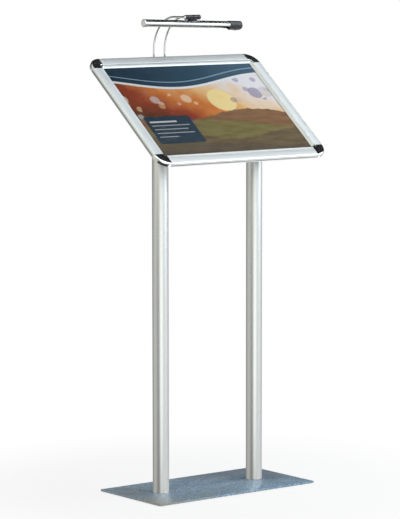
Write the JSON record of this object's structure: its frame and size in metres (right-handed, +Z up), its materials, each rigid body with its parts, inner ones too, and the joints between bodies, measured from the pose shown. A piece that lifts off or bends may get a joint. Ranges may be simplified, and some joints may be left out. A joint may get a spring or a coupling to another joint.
{
  "type": "information board stand",
  "caption": "Free-standing information board: sloping snap-open poster frame on two round posts and a flat steel base, lit by a swivelling picture light on bent rods.",
  "frame": {"origin": "centre of the underlay's bottom face, on the floor midway between the posts", "axes": "+Z up, +X to the reader's right along the board, -Y towards the reader"},
  "size_m": [0.65, 0.4498, 1.4535],
  "materials": {
    "satin_aluminium": "satin anodised, fine lengthwise drawing lines",
    "chrome": "bright plated",
    "hammered_paint": "grey-blue hammered paint",
    "zinc_steel": "zinc plated",
    "head_casting": "grey powder coat",
    "rubber_underlay": "matte",
    "white_panel": "matte",
    "poster_paper": "satin print",
    "clear_cover": "clear, slightly anti-glare",
    "black_plastic": "fine texture",
    "reflector_metal": "polished",
    "lamp_glass": "white coated glass"
  },
  "bodies": {
    "stand": {"base_underlay": "rubber_underlay", "base_plate": "hammered_paint", "base_screw_left": "zinc_steel", "base_screw_right": "zinc_steel", "post_foot_left": "zinc_steel", "post_foot_right": "zinc_steel", "post_left": "satin_aluminium", "post_right": "satin_aluminium", "post_head_left": "head_casting", "post_head_right": "head_casting", "head_screw_left_lower": "zinc_steel", "rail_screw_left_lower": "zinc_steel", "head_screw_left_upper": "zinc_steel", "rail_screw_left_upper": "zinc_steel", "head_screw_right_lower": "zinc_steel", "rail_screw_right_lower": "zinc_steel", "head_screw_right_upper": "zinc_steel", "rail_screw_right_upper": "zinc_steel", "mounting_rail_left": "zinc_steel", "mounting_rail_right": "zinc_steel", "frame_profile_bottom": "satin_aluminium", "snap_spring_bottom": "zinc_steel", "frame_profile_right": "satin_aluminium", "snap_spring_right": "zinc_steel", "frame_profile_top": "satin_aluminium", "snap_spring_top": "zinc_steel", "frame_profile_left": "satin_aluminium", "snap_spring_left": "zinc_steel", "corner_cap_bottom_left": "chrome", "corner_key_bottom_left": "zinc_steel", "corner_cap_bottom_right": "chrome", "corner_key_bottom_right": "zinc_steel", "corner_cap_top_right": "chrome", "corner_key_top_right": "zinc_steel", "corner_cap_top_left": "chrome", "corner_key_top_left": "zinc_steel", "back_panel": "white_panel", "poster_sheet": "poster_paper", "cover_sheet": "clear_cover", "lamp_bracket": "zinc_steel", "bracket_screw_left": "zinc_steel", "bracket_screw_right": "zinc_steel", "clamp_bolt": "zinc_steel", "rod_clamp": "black_plastic", "cable_gland": "black_plastic", "lamp_arm_left": "chrome", "lamp_arm_right": "chrome", "swivel_pin": "chrome", "swivel_nut": "chrome"},
    "rail_bottom": {"snap_rail_bottom": "satin_aluminium"},
    "rail_right": {"snap_rail_right": "satin_aluminium"},
    "rail_top": {"snap_rail_top": "satin_aluminium"},
    "rail_left": {"snap_rail_left": "satin_aluminium"},
    "lamp_head": {"swivel_saddle": "chrome", "lamp_shade": "chrome", "lamp_end_left": "chrome", "lamp_end_right": "black_plastic", "lamp_reflector": "reflector_metal", "lamp_tube": "lamp_glass"},
    "rocker": {"switch_rocker": "black_plastic"}
  },
  "joints": [
    {"name": "snap_rail_bottom_hinge", "type": "hinge", "parent": "stand", "child": "rail_bottom", "pos_m": [0, -0.18401, 1.02734], "axis": [1, 0, 0], "range_deg": [0, 95]},
    {"name": "snap_rail_right_hinge", "type": "hinge", "parent": "stand", "child": "rail_right", "pos_m": [0.3195, -0.00256, 1.17271], "axis": [0, 0.7804, 0.6252], "range_deg": [0, 95]},
    {"name": "snap_rail_top_hinge", "type": "hinge", "parent": "stand", "child": "rail_top", "pos_m": [0, 0.17889, 1.31808], "axis": [-1, 0, 0], "range_deg": [0, 95]},
    {"name": "snap_rail_left_hinge", "type": "hinge", "parent": "stand", "child": "rail_left", "pos_m": [-0.3195, -0.00256, 1.17271], "axis": [0, -0.7804, -0.6252], "range_deg": [0, 95]},
    {"name": "lamp_swivel", "type": "hinge", "parent": "stand", "child": "lamp_head", "pos_m": [0, 0.07601, 1.446], "axis": [1, 0, 0], "range_deg": [-80, 40]},
    {"name": "switch_rock", "type": "hinge", "parent": "lamp_head", "child": "rocker", "pos_m": [0.15946, 0.07285, 1.40706], "axis": [-0.0095, 0.9659, -0.2586], "range_deg": [-16, 0]}
  ]
}
